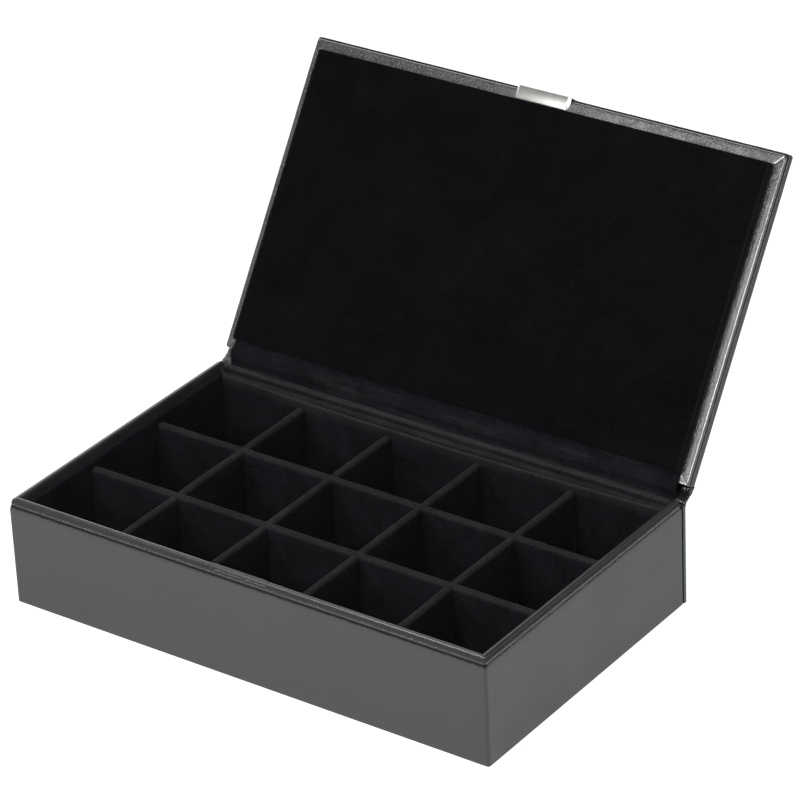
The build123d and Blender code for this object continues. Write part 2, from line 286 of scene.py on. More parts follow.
def velvet_finish(name, base, sheen, strokes):
    """Black velvet, with painted sheen: paler and greyer where the attribute "crown" is set."""
    tree, shader = start_finish(name)
    nap = grouped(tree, "velvet_nap", Vector=mapped(tree), Fibre=2200.0, Strokes=strokes)
    shade = nap.outputs["Shade"]
    # Painted sheen: a paler grey tone, mixed in where the crown attribute is set.
    grey = [sum(base) / 3 * share for share in (1.02, 1.0, 1.0)]
    plain_tone = ramp(tree, shade, shade_of(base, 0.3), shade_of(base, 2.2), (0.38, 0.64))
    painted_sheen = ramp(tree, shade, shade_of(grey, 1.4), shade_of(grey, 5.6), (0.36, 0.66))
    feed(shader, Base_Color=mix(tree, mask(tree, "crown"), plain_tone, painted_sheen), Roughness=0.95,
         Specular_IOR_Level=0.04, Sheen_Weight=sheen, Sheen_Roughness=0.28,
         Sheen_Tint=(0.9, 0.92, 1.0, 1.0))
    bump(tree, shader, nap.outputs["Height"], 0.9, 0.4 * MM)


def clip_finish(name, base):
    """Satin nickel: fine brushing along the clip and a little tarnish."""
    tree, shader = start_finish(name)
    lines = noise_of(tree, mapped(tree, scale=(0.03, 1.0, 1.0)), 9000.0, 2.0, 0.5)
    tarnish = noise_of(tree, mapped(tree), 180.0, 3.0, 0.6)
    tone = ramp(tree, tarnish, shade_of(base, 0.93), shade_of(base, 1.05), (0.35, 0.65))
    feed(shader, Base_Color=tone, Roughness=ramp(tree, lines, 0.26, 0.36), Metallic=1.0)
    bump(tree, shader, lines, 0.15, 0.01 * MM)


def board_finish(name, base):
    """Pressed board: short fibres in lighter and darker shades of its colour."""
    tree, shader = start_finish(name)
    fibres = noise_of(tree, mapped(tree, scale=(1.0, 0.4, 1.0)), 700.0, 4.0, 0.7)
    tone = ramp(tree, fibres, shade_of(base, 0.75), shade_of(base, 1.15), (0.3, 0.7))
    feed(shader, Base_Color=tone, Roughness=0.85)
    bump(tree, shader, fibres, 0.4, 0.1 * MM)


# ---- Modelling helpers ----

def verts_on(edges):
    return {v for e in edges for v in e.verts}


def chain(bm, points):
    """Edges through a list of points."""
    verts = [bm.verts.new(p) for p in points]
    return [bm.edges.new(pair) for pair in zip(verts, verts[1:])]


def grow(bm, edges):
    """Extrude a chain or a loop of edges in place and return its new vertices and edges."""
    made = bmesh.ops.extrude_edge_only(bm, edges=edges)["geom"]
    moved = [g for g in made if isinstance(g, bmesh.types.BMVert)]
    fresh = set(moved)
    return moved, [g for g in made if isinstance(g, bmesh.types.BMEdge) and set(g.verts) <= fresh]


def run(bm, edges, vector):
    """Extrude a chain of edges and return its new end."""
    moved, end = grow(bm, edges)
    bmesh.ops.translate(bm, vec=vector, verts=moved)
    return end


def turn(bm, edges, centre, angle, steps):
    """Spin a chain of edges round an upright line and return its new end."""
    last = bmesh.ops.spin(bm, geom=list(verts_on(edges)) + edges, cent=centre, axis=(0, 0, 1),
                          angle=angle, steps=steps, use_merge=False,
                          use_duplicate=False)["geom_last"]
    return [g for g in last if isinstance(g, bmesh.types.BMEdge)]


def ring(profile, half, front, back, radius):
    """Run a profile of (inset, level) points round a rectangle with rounded corners."""
    bm, corner = bmesh.new(), SWEEP
    edges = chain(bm, [(-half + corner, front + inset, level) for inset, level in profile])
    across, along = 2 * (half - corner), back - front - 2 * corner
    middles = [(half - corner, front + corner), (half - corner, back - corner),
               (-half + corner, back - corner), (-half + corner, front + corner)]
    legs = [(across, 0, 0), (0, along, 0), (-across, 0, 0), (0, -along, 0)]
    for leg, (x, y) in zip(legs, middles):
        edges = run(bm, edges, leg)
        edges = turn(bm, edges, (x, y, 0), pi / 2, CORNER_STEPS)
    bmesh.ops.remove_doubles(bm, verts=bm.verts, dist=WELD)
    squareness = -log(2) / log(1 - (1 - sqrt(0.5)) * radius / corner)
    for vert in bm.verts:
        for x, y in middles:
            a, b = vert.co.x - x, vert.co.y - y
            if a * x > 1e-9 and b * (y - (front + back) / 2) > 1e-9:
                reach = hypot(a, b)
                scale = (abs(a / reach) ** squareness + abs(b / reach) ** squareness)
                scale **= -1 / squareness
                vert.co.x, vert.co.y = x + a * scale, y + b * scale
    cut_runs(bm)
    return bm


def extent(edge, axis):
    return abs(edge.verts[0].co[axis] - edge.verts[1].co[axis])


def divide(bm, edges, cuts):
    bmesh.ops.subdivide_edges(bm, edges=edges, cuts=cuts, use_grid_fill=True)


def cut_runs(bm):
    """Divide the long straight edges into even steps."""
    for axis in (0, 1):
        long_edges = [e for e in bm.edges
                      if extent(e, axis) > 40 * MM and extent(e, 1 - axis) < 6 * MM]
        if long_edges:
            longest = max(e.calc_length() for e in long_edges)
            divide(bm, long_edges, max(1, round(longest / LEATHER_STEP)))


def cap(bm):
    """Fill every open loop."""
    loose = [e for e in bm.edges if e.is_boundary]
    bmesh.ops.edgeloop_fill(bm, edges=loose)


def settle(bm):
    bmesh.ops.recalc_face_normals(bm, faces=bm.faces)
    bm.normal_update()


def ripple(bm, amount):
    """Move each vertex along its normal by amount(vertex)."""
    bm.normal_update()
    shifts = [(v, v.normal * amount(v)) for v in bm.verts]
    for vert, shift in shifts:
        vert.co += shift


def slab(bm, x0, x1, y0, y1, z0, z1):
    """A block between two corners; returns its vertices."""
    made = bmesh.ops.create_cube(bm, size=1.0)["verts"]
    bmesh.ops.scale(bm, vec=(x1 - x0, y1 - y0, z1 - z0), verts=made)
    bmesh.ops.translate(bm, vec=((x0 + x1) / 2, (y0 + y1) / 2, (z0 + z1) / 2), verts=made)
    return made


def soften(bm, edges, offset, segments):
    bmesh.ops.bevel(bm, geom=edges, offset=offset, offset_type="OFFSET", segments=segments,
                    profile=0.5, affect="EDGES", clamp_overlap=True, material=-1)


def wave(point, size, seed=0.0):
    """Smooth repeatable noise, about -1 to 1, with bumps of one size."""
    return noise.noise(Vector(point) / size + Vector((seed, 2 * seed, -seed)))


def blend_in(value, start, end):
    t = min(1.0, max(0.0, (value - start) / (end - start)))
    return t * t * (3 - 2 * t)


def open_lid(bm):
    """Turn what was drawn on the closed lid to the open pose."""
    turning = Matrix.Rotation(-OPEN_ANGLE, 3, "X")
    bmesh.ops.rotate(bm, verts=bm.verts, cent=HINGE, matrix=turning)


def turned(y, z):
    dy, dz = y - HINGE[1], z - HINGE[2]
    a = -OPEN_ANGLE
    return HINGE[1] + dy * cos(a) - dz * sin(a), HINGE[2] + dy * sin(a) + dz * cos(a)


def object_from(name, bm, finish):
    """Turn a bmesh into an object in the scene with one finish."""
    mesh = bpy.data.meshes.new(name)
    bm.to_mesh(mesh)
    bm.free()
    mesh.materials.append(bpy.data.materials[finish])
    made = bpy.data.objects.new(name, mesh)
    bpy.context.scene.collection.objects.link(made)
    return made


def piece_from(name, bm, finish, body=None, stands_for=()):
    piece = object_from(name, bm, finish)
    polygons = piece.data.polygons
    polygons.foreach_set("use_smooth", [True] * len(polygons))
    if body:
        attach(piece, body)
    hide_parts(*stands_for)
    return piece


def mark(bm, name, value):
    """Write a float attribute from value(vertex)."""
    layer = bm.verts.layers.float.new(name)
    for vert in bm.verts:
        vert[layer] = value(vert)


def draw_in(bm, below, half, front, back, inset, step):
    """Carry the open loop below a level further in by a step, from its inset to a rectangle."""
    middle, deep = (front + back) / 2, (back - front) / 2
    loop = [e for e in bm.edges if e.is_boundary and max(v.co.z for v in e.verts) < below]
    made, _ = grow(bm, loop)
    bmesh.ops.translate(bm, vec=(0, -middle, 0), verts=made)
    bmesh.ops.scale(bm, vec=(1 - step / (half - inset), 1 - step / (deep - inset), 1), verts=made)
    bmesh.ops.translate(bm, vec=(0, middle, 0), verts=made)


def sizes():
    return bpy.context.scene.jewellery_box_sizes


# ---- Operators ----

class JewelleryBoxFinishes(bpy.types.Operator):
    """Make the leather, velvet, steel and board finishes"""
    bl_idname = "jewellery_box.finishes"
    bl_label = "Finishes"

    def execute(self, context):
        leather_group()
        velvet_group()
        tone = context.scene.jewellery_box_colours
        lid_turn = (radians(56.16), 0.0, radians(20))     # the open lid's lean, a slant of grain
        leather_finish("tray_side_leather", tone.leather, 900.0, 0.5, 0.1, 0.42, wrinkled=5.0)
        leather_finish("rim_strip_leather", tone.leather, 1100.0, 0.3, 0.09, 0.32, coat=0.1)
        leather_finish("spine_skin", tone.leather, 900.0, 0.5, 0.1, 0.45)
        leather_finish("base_skin", shade_of(tone.leather, 0.8), 900.0, 0.3, 0.1, 0.6)
        leather_finish("lid_cover_leather", tone.leather, 900.0, 0.5, 0.12, 0.42,
                       rotation=lid_turn, wrinkled=4.0)
        leather_finish("lid_border_leather", tone.leather, 900.0, 1.1, 0.55, 0.27,
                       rotation=lid_turn, scale=(1.0, 0.6, 1.0), coat=1.0)
        leather_finish("joint_leather", tone.leather, 900.0, 1.0, 0.3, 0.3, coat=0.6, wrinkled=1)
        velvet_finish("cell_velvet", tone.velvet, 0.05, 60.0)
        velvet_finish("joint_velvet", tone.velvet, 0.06, 90.0)
        velvet_finish("pad_pile", tone.pad, 0.06, 40.0)
        clip_finish("satin_nickel", tone.clip)
        board_finish("box_board", tone.board)
        board_finish("stiff_card", shade_of(tone.board, 1.25))
        return {"FINISHED"}


class JewelleryBoxTrayLeather(bpy.types.Operator):
    """Model the side leather with its rim bead and groove, and the lining strip on the rim"""
    bl_idname = "jewellery_box.tray_leather"
    bl_label = "Tray leather"

    def execute(self, context):
        self.side_leather()
        self.rim_strip()
        return {"FINISHED"}

    def side_leather(self):
        size = sizes()
        top = size.rim
        profile = [(2.4, 0), (0.4, 0), (0.15, 0.05), (0.04, 0.16), (0, 0.4), (0, 6), (0, 14),
                   (0, 22), (0, 30), (0, 38), (0, 43)]
        profile = [(a * MM, b * MM) for a, b in profile]
        bead = [(0.0, -6.2), (0.02, -5.5), (0.06, -4.9), (0.14, -4.4), (0.26, -3.95),
                (0.4, -3.6), (0.54, -3.3), (0.63, -3.1), (0.67, -2.98), (0.6, -2.86),
                (0.6, -2.76), (0.71, -2.46), (0.84, -2.17), (1.01, -1.9), (1.19, -1.64),
                (1.36, -1.44), (1.5, -1.34), (1.6, -1.33), (1.68, -1.42), (1.73, -1.65),
                (1.75, -1.9)]
        profile += [(a * MM, top + b * MM) for a, b in bead]
        bm = ring(profile, size.half_width, size.front, size.ring_back, size.corner)
        draw_in(bm, 0.1 * MM, size.half_width, size.front, size.ring_back, FOLD, TURN_IN - FOLD)
        settle(bm)
        crease = top - 2.95 * MM
        ledge = top - 2.4 * MM      # the leather ends here under the joint

        def leather_wave(vert):
            over_bead = blend_in(vert.co.z, crease, crease + 0.9 * MM)
            slow = 0.05 * MM * wave(vert.co, 26 * MM) * blend_in(vert.co.z, 1 * MM, 6 * MM)
            shear = (vert.co.x + 0.8 * vert.co.z, vert.co.y + 0.8 * vert.co.z, 0)
            kinks = wave(shear, 2.6 * MM, 3.1)
            return slow * (1 - over_bead) + 0.09 * MM * kinks * over_bead - 0.05 * MM * over_bead

        ripple(bm, leather_wave)
        mark(bm, "wrinkle", lambda vert: blend_in(vert.co.z, crease, crease + 0.5 * MM))
        # Painted shade: a darker colour fading in below the rim groove and over the bead.
        mark(bm, "painted_shade", lambda vert: blend_in(vert.co.z, crease - 2.4 * MM, crease - 0.9 * MM))
        lowered = [v for v in bm.verts if v.co.y > size.ring_back - 1.6 * MM
                   and abs(v.co.x) < size.half_width - size.rim_width and v.co.z > ledge]
        for vert in lowered:
            vert.co.z = ledge - (vert.co.z - top) * 0.02
        piece_from("tray_side_leather", bm, "tray_side_leather", "tray",
                   ["side_cover"])

    def rim_strip(self):
        size = sizes()
        top, half, front = size.rim, size.half_width, size.front
        rear = RIM_HI[1]
        section = [(1.62, -1.9), (1.56, -1.4), (1.58, -1.12), (1.66, -0.85), (1.79, -0.58),
                   (1.96, -0.35), (2.17, -0.17), (2.42, -0.06), (2.7, -0.01), (3.0, -0.05),
                   (3.3, -0.16), (3.56, -0.34), (3.78, -0.58), (3.94, -0.9), (4.05, -1.4),
                   (4.2, -3.0), (4.2, -6.0), (4.2, -46.7)]
        section = [(a * MM, top + b * MM) for a, b in section]
        bm = bmesh.new()
        edges = chain(bm, [(-half + inset, rear, level) for inset, level in section])
        edges = run(bm, edges, (0, front - rear, 0))
        self.mitre(edges, size)
        edges = run(bm, edges, (0, 0, 0))
        for vert in verts_on(edges):
            vert.co.x = -vert.co.x
        edges = run(bm, edges, (0, rear - front, 0))
        for vert in verts_on(edges):
            vert.co.y = rear
        cut_runs(bm)
        settle(bm)

        def strip_wave(vert):
            slow = 0.05 * MM * wave(vert.co, 14 * MM, 5.0) + 0.03 * MM * wave(vert.co, 4 * MM, 1.7)
            return slow if vert.co.z > top - 1.2 * MM else 0.3 * slow

        ripple(bm, strip_wave)
        self.raise_over_magnet(bm, size)
        self.fold_mitres(bm, size)
        upper = [f for f in bm.faces if f.calc_center_median().z > top - 0.3 * MM]
        if sum(f.normal.z for f in upper) < 0:
            bmesh.ops.reverse_faces(bm, faces=bm.faces)
        piece_from("rim_strip_leather", bm, "rim_strip_leather", "tray",
                   ["rim_lining"])

    def mitre(self, edges, size):
        """Bring the end of the left run to the diagonal of its front corner."""
        for vert in verts_on(edges):
            inset = vert.co.x + size.half_width
            eased = max(inset, (1 - sqrt(0.5)) * size.corner + 0.75 * inset)
            vert.co.x = eased - size.half_width
            vert.co.y = size.front + eased

    def raise_over_magnet(self, bm, size):
        """The strip stands slightly proud where the closure magnet lies under it."""
        half = 13 * MM
        for vert in bm.verts:
            inset = vert.co.y - size.front
            on_top = vert.co.z > size.rim - 0.45 * MM and inset < 4.15 * MM
            if on_top and abs(vert.co.x) < half + 3 * MM:
                off = abs(vert.co.x + 0.5 * MM)
                along = 1 - blend_in(off, half - 0.4 * MM, half + 0.4 * MM)
                across = (blend_in(inset, 2.0 * MM, 3.0 * MM)
                          * (1 - blend_in(inset, 3.6 * MM, 4.1 * MM)))
                vert.co.z += 0.3 * MM * along * across

    def fold_mitres(self, bm, size):
        """A shallow fold along each front mitre."""
        width = 0.8 * MM
        for vert in bm.verts:
            if vert.co.z < size.rim - 1.2 * MM:
                continue
            from_side = size.half_width - abs(vert.co.x)
            from_diagonal = abs(from_side - (vert.co.y - size.front))
            if from_side < MITRE_WITHIN and from_diagonal < width:
                vert.co.z -= 0.16 * MM * (1 - from_diagonal / width)


class JewelleryBoxInsert(bpy.types.Operator):
    """Model the velvet liners, dividers and floor pad"""
    bl_idname = "jewellery_box.insert"
    bl_label = "Velvet insert"

    def execute(self, context):
        self.liners()
        self.dividers()
        self.floor_pad()
        return {"FINISHED"}

    def floor_pad(self):
        bm = bmesh.new()
        slab(bm, *[v for pair in zip(FLOOR_LO, FLOOR_HI) for v in pair])
        long_edges = [e for e in bm.edges if e.calc_length() > 50 * MM]
        divide(bm, long_edges, 60)

        def floor_wave(vert):
            on_top = vert.co.z > FLOOR_LO[2] + 1 * MM
            return 0.12 * MM * wave(vert.co, 17 * MM) * on_top - 0.1 * MM

        ripple(bm, floor_wave)
        piece_from("velvet_floor", bm, "cell_velvet", "tray", ["floor_pad"])

    def board(self, bm, x0, x1, y0, y1, z0, z1, round_top, round_end, seed=0.0, bow=None):
        """A velvet-covered card: rounded along its top and at its upright ends."""
        made = slab(bm, x0, x1, y0, y1, z0, z1)
        along = 0 if x1 - x0 > y1 - y0 else 1
        tops = [e for e in {e for v in made for e in v.link_edges}
                if all(v.co.z > z1 - WELD for v in e.verts) and extent(e, along) > WELD]
        before = set(bm.verts) - set(made)

        def fresh():
            return [e for e in bm.edges if not (set(e.verts) & before)]

        soften(bm, tops, round_top, 5)
        ends = [e for e in fresh() if extent(e, along) < WELD
                and min(e.verts[0].co[along] - (x0, y0)[along],
                        (x1, y1)[along] - e.verts[0].co[along], key=abs) < WELD
                and e.calc_face_angle(0.0) > 0.5]
        soften(bm, ends, round_end, 3)
        span = (x1 - x0, y1 - y0)[along]
        divide(bm, [e for e in fresh() if extent(e, along) > 0.7 * span],
               max(2, round(span / (2.2 * MM))))
        divide(bm, [e for e in fresh() if extent(e, 2) > 15 * MM], 8)
        for vert in set(bm.verts) - before:
            rise = blend_in(vert.co.z, z0, z1)
            lean = 0.25 * MM * wave((vert.co[along], seed, 0), 38 * MM, seed) * rise
            fuzz = 0.07 * MM * wave(vert.co, 3.4 * MM, seed)
            vert.co[1 - along] += lean + fuzz
            swell = 0.18 * MM * wave((vert.co[along], 0, seed), 22 * MM, seed + 4)
            vert.co.z += (swell - 0.1 * MM) * rise
            if bow:
                vert.co.y += bow(vert.co.x)

    def cover(self, bm, node, top=0.0, deep=0.0, share=0.0):
        """Make the piece, with painted sheen of the given share fading in this deep below its top
        edge.
        """
        if share:
            mark(bm, "crown", lambda v: share * blend_in(v.co.z, top - deep, top - 0.3 * deep))
        piece_from("velvet_" + node, bm, "cell_velvet", "tray", [node])

    def liners(self):
        (x_out, y0, z0), (x_in, y1, z1) = LINER_LO, LINER_HI
        thick, half = x_in - x_out, -x_in
        rounding = (0.8 * MM, 0.2 * MM)
        spans = {"left": (x_out, x_in, y0, y1), "right": (half, -x_out, y0, y1),
                 "front": (-half, half, y0, y0 + thick)}
        for seed, (side, span) in enumerate(spans.items(), 1):
            bm = bmesh.new()
            self.board(bm, *span, z0, z1, *rounding, seed)
            self.cover(bm, "liner_" + side)
        low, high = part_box("liner_back")
        depth = high[1] - low[1] - thick
        bm = bmesh.new()
        self.board(bm, -half, half, high[1] - thick, high[1], z0, z1, *rounding, 4,
                   bow=lambda x: -depth * (1 - (x / half) ** 2))
        self.cover(bm, "liner_back", z1, 1.4 * MM, 0.85)

    def dividers(self):
        half = sizes().divider / 2
        z0, z1 = CELL_LO[2], CELL_HI[2]
        reach = CELL_HI[0] + 0.15 * MM
        rounding, overlap = 1.8 * MM, 0.25 * MM
        rows = []
        for name in ("long_divider_front", "long_divider_rear"):
            low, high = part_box(name)
            middle = (low[1] + high[1]) / 2
            rows.append(middle)
            bm = bmesh.new()
            self.board(bm, -reach, reach, middle - half, middle + half, z0, z1, rounding,
                       0.5 * MM, 10.0 + middle * 40)
            self.cover(bm, name, z1, 2.0 * MM, 0.5)
        for k in range(1, 5):
            name = f"short_divider_{k}"
            low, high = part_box(name)
            middle = (low[0] + high[0]) / 2
            stops = [low[1] - 0.15 * MM]
            for y in rows:
                stops += [y - half + overlap, y + half - overlap]
            stops.append(high[1] + 0.1 * MM)
            bm = bmesh.new()
            for part, (y0, y1) in enumerate(zip(stops[::2], stops[1::2])):
                self.board(bm, middle - half, middle + half, y0, y1, z0, z1 - 0.15 * MM, rounding,
                           0.7 * MM, 20.0 + 3 * k + part)
            self.cover(bm, name, z1, 2.0 * MM, 0.5)


class JewelleryBoxLidLeather(bpy.types.Operator):
    """Model the lid's cover with its edge bead and groove, and the leather border panel"""
    bl_idname = "jewellery_box.lid_leather"
    bl_label = "Lid leather"

    def execute(self, context):
        size = sizes()
        front, back = size.front, size.front + size.lid_length
        plane = size.lid_plane
        edge = [(2.4, 2.0), (0.8, 2.2), (0.62, 2.1), (0.44, 1.68), (0.3, 1.55), (0.14, 1.6),
                (0.03, 1.8), (0.03, 2.02), (0.12, 2.25), (0.3, 2.46), (0.3, 2.62), (0.12, 2.88),
                (0.03, 3.2), (0, 3.5), (0, 4.3), (0.07, 4.7), (0.27, 5.02), (0.55, 5.2),
                (0.9, 5.28), (1.6, 5.3), (2.4, 5.3)]
        bm = ring([(a * MM, plane + b * MM) for a, b in edge], size.half_width, front, back,
                  size.corner)
        cap(bm)
        settle(bm)
        def cover_wave(vert):
            level = vert.co.z - plane
            beaded = 1 - blend_in(level, 2.3 * MM, 2.9 * MM)
            kinks = wave((vert.co.x + vert.co.z, vert.co.y - vert.co.z, 0), 2.8 * MM, 7.7)
            slow = 0.05 * MM * wave(vert.co, 22 * MM, 2.0)
            return 0.06 * MM * kinks * beaded + slow * (1 - beaded) - 0.03 * MM

        ripple(bm, cover_wave)
        mark(bm, "wrinkle", lambda v: 0.7 * (1 - blend_in(v.co.z - plane, 2.3 * MM, 2.8 * MM)))
        groove = plane + 2.55 * MM
        # Painted shade: a darker colour in the cover's edge groove.
        mark(bm, "painted_shade", lambda v: 1 - blend_in(abs(v.co.z - groove), 0.1 * MM, 0.4 * MM))
        open_lid(bm)
        piece_from("lid_cover_leather", bm, "lid_cover_leather", "lid",
                   ["lid_cover"])

        panel = [(1.9, 2.1), (0.06, 2.1), (0.0, 1.9), (0.0, 0.8), (0.05, 0.5), (0.19, 0.22),
                 (0.4, 0.07), (0.65, 0.01), (1.1, 0.0), (1.7, 0.0), (2.3, 0.0)]
        half, low, high = size.half_width - 0.6 * MM, front + 1.0 * MM, back - 0.1 * MM
        bm = ring([(a * MM, plane + b * MM) for a, b in panel], half, low, high, size.corner)
        inset = 2.3 * MM
        for step in (0.7, 0.7, 0.7, 0.7, 0.9):
            draw_in(bm, plane + 0.1 * MM, half, low, high, inset, step * MM)
            inset += step * MM
        cap(bm)
        settle(bm)

        def border_wave(vert):
            slow = 0.06 * MM * wave(vert.co, 9 * MM, 9.0) + 0.04 * MM * wave(vert.co, 3 * MM, 4.0)
            side = half - abs(vert.co.x)
            end = min(vert.co.y - low, high - vert.co.y)
            off = abs(side - end)
            fold = 0.16 * MM * max(0.0, 1 - off / (0.9 * MM)) * (side < MITRE_WITHIN)
            return (slow - fold) * (vert.co.z < plane + 1.0 * MM)

        ripple(bm, border_wave)
        open_lid(bm)
        piece_from("lid_border_leather", bm, "lid_border_leather", "lid",
                   ["border_leather"])
        return {"FINISHED"}


class JewelleryBoxPad(bpy.types.Operator):
    """Model the velvet-covered pad on the lid"""
    bl_idname = "jewellery_box.pad"
    bl_label = "Lid pad"

    columns: IntProperty(name="Columns", description="Mesh columns over the pad", default=110,
                         min=20)
    rows: IntProperty(name="Rows", description="Mesh rows over the pad", default=84, min=20)

    def execute(self, context):
        size = sizes()
        half = size.half_width - 5 * MM
        front, back = size.front + 5.7 * MM, size.front + size.lid_length - 4.4 * MM
        middle, deep = (front + back) / 2, (back - front) / 2
        lift, arris, corner = size.pad_lift, 1.0 * MM, 1.3 * MM
        bm = bmesh.new()
        bmesh.ops.create_grid(bm, x_segments=self.columns, y_segments=self.rows, size=1.0)
        for vert in bm.verts:
            x = self.towards_edge(vert.co.x) * half
            y = self.towards_edge(vert.co.y) * deep
            from_side, from_end = half - abs(x), deep - abs(y)
            edge = min(from_side, from_end)
            if from_side < corner and from_end < corner:
                a, b = 1 - from_side / corner, 1 - from_end / corner
                a, b = a * sqrt(1 - b * b / 2), b * sqrt(1 - a * a / 2)
                edge = corner * (1 - hypot(a, b))
                x = (half - corner * (1 - a)) * (1 if x > 0 else -1)
                y = (deep - corner * (1 - b)) * (1 if y > 0 else -1)
            edge = max(edge, 0.0)
            drop = arris - sqrt(max(0.0, arris ** 2 - (arris - min(edge, arris)) ** 2))
            crown = 0.12 * MM * blend_in(edge, 0, 14 * MM)
            dents = 0.06 * MM * wave((x, y, 0), 16 * MM, 6.0) * blend_in(edge, 1 * MM, 6 * MM)
            rise = lift - 0.12 * MM - drop + crown + dents
            vert.co = (x, middle + y, size.lid_plane - rise)
        rim = [e for e in bm.edges if e.is_boundary]
        for level in (0.55, 0.0):
            fresh, rim = grow(bm, rim)
            for vert in fresh:
                vert.co.z = size.lid_plane - (lift - arris) * level
                if level == 0:
                    vert.co.x *= 1 - 0.35 * MM / half
                    vert.co.y = middle + (vert.co.y - middle) * (1 - 0.35 * MM / deep)
        bmesh.ops.edgeloop_fill(bm, edges=rim)
        settle(bm)
        ripple(bm, lambda v: 0.05 * MM * wave(v.co, 3 * MM, 8.0) - 0.02 * MM)
        # Painted sheen: a paler tone along the pad's left and right edges.
        mark(bm, "crown", lambda v: 0.7 * blend_in(abs(v.co.x), half - 1.6 * MM, half - 0.6 * MM)
             * blend_in(-v.co.z, lift * 0.45 - size.lid_plane, lift * 0.8 - size.lid_plane))
        open_lid(bm)
        pad = piece_from("lid_pad", bm, "pad_pile", "lid",
                         ["pad_velvet", "pad_foam", "pad_board"])
        return {"FINISHED"}

    def towards_edge(self, u):
        """Crowd the mesh lines towards the pad's edges."""
        return (1 - (1 - abs(u)) ** 1.9) * (1 if u > 0 else -1)


class JewelleryBoxJoint(bpy.types.Operator):
    """Model the velvet strip and the leather that join lid and tray"""
    bl_idname = "jewellery_box.joint"
    bl_label = "Lid joint"

    def execute(self, context):
        self.velvet_strip()
        self.leather_joint()
        return {"FINISHED"}

    def lid_point(self, along, lift):
        """A point on the lid, in mm from its hinge edge and above its inner face."""
        size = sizes()
        return turned(size.front + size.lid_length - along * MM, size.lid_plane - lift * MM)

    def tray_point(self, y, z):
        """A point on the tray, in mm from its front face and above the table."""
        return sizes().front + y * MM, z * MM

    def smooth(self, points, count):
        """Even points along a smooth curve through a few."""
        dense = []
        padded = [points[0], *points, points[-1]]
        for a, b, c, d in zip(padded, padded[1:], padded[2:], padded[3:]):
            for k in range(24):
                t = k / 24
                dense.append(tuple(
                    0.5 * ((2 * q) + (r - p) * t + (2 * p - 5 * q + 4 * r - s) * t * t
                           + (3 * q - p - 3 * r + s) * t ** 3)
                    for p, q, r, s in zip(a, b, c, d)))
        dense.append(points[-1])
        walked = [0.0]
        for p, q in zip(dense, dense[1:]):
            walked.append(walked[-1] + hypot(q[0] - p[0], q[1] - p[1]))
        out, k = [], 0
        for step in range(count):
            goal = walked[-1] * step / (count - 1)
            while k < len(walked) - 2 and walked[k + 1] < goal:
                k += 1
            t = (goal - walked[k]) / max(1e-9, walked[k + 1] - walked[k])
            out.append(tuple(p + (q - p) * t for p, q in zip(dense[k], dense[k + 1])))
        return out

    def strip(self, on_tray, on_lid, count, half, cuts):
        """A sheet over a smooth line through tray and lid points; returns it with the line."""
        line = self.smooth([self.tray_point(*p) for p in on_tray]
                           + [self.lid_point(*p) for p in on_lid], count)
        bm = bmesh.new()
        run(bm, chain(bm, [(-half, y, z) for y, z in line]), (2 * half, 0, 0))
        divide(bm, [e for e in bm.edges if extent(e, 0) > half], cuts)
        bm.normal_update()
        return bm, line

    def thicken(self, bm, axis, shape, thickness):
        """Turn the sheet's face along an axis, ripple it by shape(vertex) and give it depth."""
        if sum(f.normal[axis] for f in bm.faces) < 0:
            bmesh.ops.reverse_faces(bm, faces=bm.faces)
        ripple(bm, shape)
        bmesh.ops.solidify(bm, geom=bm.faces[:], thickness=thickness)
        settle(bm)

    def velvet_strip(self):
        half = sizes().half_width - 5.2 * MM
        bm, line = self.strip(
            [(139.9, 44.4), (140.2, 47.2), (141.4, 48.7), (143.0, 48.95), (145.0, 48.3),
             (146.2, 47.75), (146.9, 48.6)],
            [(-3.2, 0.9), (-1.4, 1.25), (0.2, 1.35), (1.6, 0.95), (3.0, 0.6), (4.6, 0.6)],
            46, half, 170)
        ridge = self.tray_point(142.4, 48.85)
        def strip_wave(vert):
            folds = wave((vert.co.x * 0.22, vert.co.y * 1.5, vert.co.z * 1.5), 3.4 * MM, 3.0)
            long_wave = wave((vert.co.x, 0, 0), 30 * MM, 6.0)
            return 0.32 * MM * folds + 0.15 * MM * long_wave - 0.12 * MM

        self.thicken(bm, 2, strip_wave, 0.5 * MM)

        # Painted sheen: a paler tone over the ridge on the back wall, along the lower hem and on
        # the fold ridges.
        def painted_sheen(vert):
            off_ridge = hypot(vert.co.y - ridge[0], vert.co.z - ridge[1])
            over = 1 - blend_in(off_ridge, 0.7 * MM, 1.7 * MM)
            fold = wave((vert.co.x * 0.06, vert.co.y, vert.co.z), 2.1 * MM, 9.0)
            hem = 1 - blend_in(vert.co.z, ridge[1] - 2.2 * MM, ridge[1] - 1.5 * MM)
            return max(over, 0.8 * hem, 0.35 * blend_in(fold, 0.1, 0.7))

        mark(bm, "crown", painted_sheen)
        piece = piece_from("joint_velvet_strip", bm, "joint_velvet",
                           stands_for=["hinge_velvet"])
        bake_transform(piece)

    def leather_joint(self):
        size = sizes()
        bm, _ = self.strip(
            [(147.0, 45.6), (147.05, 46.5), (147.9, 47.5), (149.9, 48.35), (151.6, 49.2)],
            [(-0.35, -4.9), (0.5, -5.3)], 30, size.half_width - 0.05 * MM, 200)
        def joint_wave(vert):
            ends = blend_in(abs(vert.co.x), size.half_width - 9 * MM, size.half_width)
            slow = wave((vert.co.x, 0, 0), 34 * MM, 8.0)
            folds = wave((vert.co.x * 0.5, vert.co.y, vert.co.z), 2.4 * MM, 12.0)
            inner = blend_in(vert.co.z, size.rim - 3.9 * MM, size.rim - 2.5 * MM)
            return inner * (0.12 * MM * slow + (0.1 + 0.45 * ends) * MM * folds) - 0.05 * MM

        self.thicken(bm, 1, joint_wave, 0.7 * MM)
        mark(bm, "wrinkle", lambda v: 0.0)
